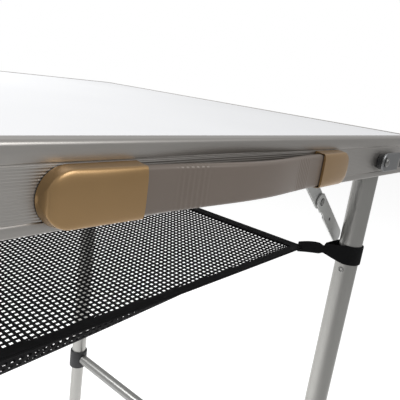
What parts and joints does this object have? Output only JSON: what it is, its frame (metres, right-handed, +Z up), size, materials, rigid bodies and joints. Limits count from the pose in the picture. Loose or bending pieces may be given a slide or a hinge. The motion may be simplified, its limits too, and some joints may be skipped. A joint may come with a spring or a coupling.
{
  "type": "folding table",
  "caption": "Folding table that closes into a flat case, with framed half tops, folding telescopic legs on link braces, carrying handle, swing latches and a net shelf.",
  "frame": {"origin": "centre of the whole object's footprint, on the floor that its feet stand on", "axes": "+X along the table towards the half that carries the handle, +Y across it away from the handle, +Z up"},
  "size_m": [1.2, 0.5228, 0.7],
  "materials": {
    "board": "white laminated board, satin gloss",
    "aluminium": "anodised extruded aluminium, satin",
    "steel": "zinc plated pressed steel",
    "cap_plastic": "moulded tan plastic with a metallic sheen",
    "grip_plastic": "soft moulded taupe plastic",
    "black_plastic": "moulded black plastic",
    "webbing": "woven black polyester webbing",
    "net": "knitted black polyester mesh"
  },
  "bodies": {
    "right_half": {"panel_right": "board", "rail_right_near": "aluminium", "rail_right_far": "aluminium", "rail_right_end": "aluminium", "rail_right_middle": "aluminium", "corner_right_near": "aluminium", "corner_right_far": "aluminium", "hinge_leaf_right_near": "steel", "hinge_leaf_right_far": "steel", "leg_bracket_right_near": "steel", "leg_bracket_right_far": "steel", "net_right": "net", "handle_cap_inner": "cap_plastic", "handle_cap_outer": "cap_plastic", "handle_grip": "grip_plastic", "latch_pivot_near": "black_plastic", "latch_pivot_far": "black_plastic"},
    "legs_right": {"leg_tube_right_near": "aluminium", "leg_tube_right_far": "aluminium", "crossbar_right": "aluminium", "webbing_loop_right_near": "webbing", "webbing_loop_right_far": "webbing"},
    "extension_right_near": {"leg_extension_right_near": "aluminium", "foot_right_near": "black_plastic"},
    "upper_link_right_near": {"brace_upper_right_near": "aluminium"},
    "lower_link_right_near": {"brace_lower_right_near": "aluminium"},
    "extension_right_far": {"leg_extension_right_far": "aluminium", "foot_right_far": "black_plastic"},
    "upper_link_right_far": {"brace_upper_right_far": "aluminium"},
    "lower_link_right_far": {"brace_lower_right_far": "aluminium"},
    "left_half": {"panel_left": "board", "rail_left_near": "aluminium", "rail_left_far": "aluminium", "rail_left_end": "aluminium", "rail_left_middle": "aluminium", "corner_left_near": "aluminium", "corner_left_far": "aluminium", "hinge_leaf_left_near": "steel", "hinge_leaf_left_far": "steel", "leg_bracket_left_near": "steel", "leg_bracket_left_far": "steel", "net_left": "net", "latch_stud_near": "black_plastic", "latch_stud_far": "black_plastic"},
    "legs_left": {"leg_tube_left_near": "aluminium", "leg_tube_left_far": "aluminium", "crossbar_left": "aluminium", "webbing_loop_left_near": "webbing", "webbing_loop_left_far": "webbing"},
    "extension_left_near": {"leg_extension_left_near": "aluminium", "foot_left_near": "black_plastic"},
    "upper_link_left_near": {"brace_upper_left_near": "aluminium"},
    "lower_link_left_near": {"brace_lower_left_near": "aluminium"},
    "extension_left_far": {"leg_extension_left_far": "aluminium", "foot_left_far": "black_plastic"},
    "upper_link_left_far": {"brace_upper_left_far": "aluminium"},
    "lower_link_left_far": {"brace_lower_left_far": "aluminium"},
    "latch_near": {"latch_strap_near": "steel"},
    "latch_far": {"latch_strap_far": "steel"}
  },
  "joints": [
    {"name": "table_fold", "type": "hinge", "parent": "right_half", "child": "left_half", "pos_m": [0, 0.00385, 0.662], "axis": [0, -1, 0], "range_deg": [0, 75], "deforming": ["net_right", "net_left"]},
    {"name": "latch_near_swing", "type": "hinge", "parent": "right_half", "child": "latch_near", "pos_m": [0.5035, -0.25145, 0.679], "axis": [0, 1, 0], "range_deg": [0, 90]},
    {"name": "latch_far_swing", "type": "hinge", "parent": "right_half", "child": "latch_far", "pos_m": [0.5035, 0.25915, 0.679], "axis": [0, 1, 0], "range_deg": [0, 90]},
    {"name": "legs_right_fold", "type": "hinge", "parent": "right_half", "child": "legs_right", "pos_m": [0.5595, 0.00385, 0.6795], "axis": [0, 1, 0], "range_deg": [0, 90]},
    {"name": "upper_link_right_near_turn", "type": "hinge", "parent": "right_half", "child": "upper_link_right_near", "pos_m": [0.4485, -0.19425, 0.6795], "axis": [0, 1, 0], "range_deg": [-39.36, 0]},
    {"name": "lower_link_right_near_turn", "type": "hinge", "parent": "legs_right", "child": "lower_link_right_near", "pos_m": [0.5595, -0.19685, 0.5885], "axis": [0, 1, 0], "range_deg": [0, 50.66]},
    {"name": "extension_right_near_slide", "type": "slide", "parent": "legs_right", "child": "extension_right_near", "axis": [0, 0, 1], "range_m": [0, 0.1601]},
    {"name": "upper_link_right_far_turn", "type": "hinge", "parent": "right_half", "child": "upper_link_right_far", "pos_m": [0.4485, 0.20195, 0.6795], "axis": [0, 1, 0], "range_deg": [-39.36, 0]},
    {"name": "lower_link_right_far_turn", "type": "hinge", "parent": "legs_right", "child": "lower_link_right_far", "pos_m": [0.5595, 0.20455, 0.5885], "axis": [0, 1, 0], "range_deg": [0, 50.66]},
    {"name": "extension_right_far_slide", "type": "slide", "parent": "legs_right", "child": "extension_right_far", "axis": [0, 0, 1], "range_m": [0, 0.1601]},
    {"name": "legs_left_fold", "type": "hinge", "parent": "left_half", "child": "legs_left", "pos_m": [-0.5595, 0.00385, 0.6795], "axis": [0, -1, 0], "range_deg": [0, 90]},
    {"name": "upper_link_left_near_turn", "type": "hinge", "parent": "left_half", "child": "upper_link_left_near", "pos_m": [-0.4485, -0.19425, 0.6795], "axis": [0, -1, 0], "range_deg": [-39.36, 0]},
    {"name": "lower_link_left_near_turn", "type": "hinge", "parent": "legs_left", "child": "lower_link_left_near", "pos_m": [-0.5595, -0.19685, 0.5885], "axis": [0, -1, 0], "range_deg": [0, 50.66]},
    {"name": "extension_left_near_slide", "type": "slide", "parent": "legs_left", "child": "extension_left_near", "axis": [0, 0, 1], "range_m": [0, 0.1601]},
    {"name": "upper_link_left_far_turn", "type": "hinge", "parent": "left_half", "child": "upper_link_left_far", "pos_m": [-0.4485, 0.20195, 0.6795], "axis": [0, -1, 0], "range_deg": [-39.36, 0]},
    {"name": "lower_link_left_far_turn", "type": "hinge", "parent": "legs_left", "child": "lower_link_left_far", "pos_m": [-0.5595, 0.20455, 0.5885], "axis": [0, -1, 0], "range_deg": [0, 50.66]},
    {"name": "extension_left_far_slide", "type": "slide", "parent": "legs_left", "child": "extension_left_far", "axis": [0, 0, 1], "range_m": [0, 0.1601]}
  ],
  "couplings": [
    {"joint": "upper_link_right_near_turn", "follows": "legs_right_fold", "ratio": -0.43717},
    {"joint": "lower_link_right_near_turn", "follows": "legs_right_fold", "ratio": 0.56283},
    {"joint": "extension_right_near_slide", "follows": "legs_right_fold", "m_per_rad": 0.10186},
    {"joint": "upper_link_right_far_turn", "follows": "legs_right_fold", "ratio": -0.43717},
    {"joint": "lower_link_right_far_turn", "follows": "legs_right_fold", "ratio": 0.56283},
    {"joint": "extension_right_far_slide", "follows": "legs_right_fold", "m_per_rad": 0.10186},
    {"joint": "upper_link_left_near_turn", "follows": "legs_left_fold", "ratio": -0.43717},
    {"joint": "lower_link_left_near_turn", "follows": "legs_left_fold", "ratio": 0.56283},
    {"joint": "extension_left_near_slide", "follows": "legs_left_fold", "m_per_rad": 0.10186},
    {"joint": "upper_link_left_far_turn", "follows": "legs_left_fold", "ratio": -0.43717},
    {"joint": "lower_link_left_far_turn", "follows": "legs_left_fold", "ratio": 0.56283},
    {"joint": "extension_left_far_slide", "follows": "legs_left_fold", "m_per_rad": 0.10186}
  ]
}
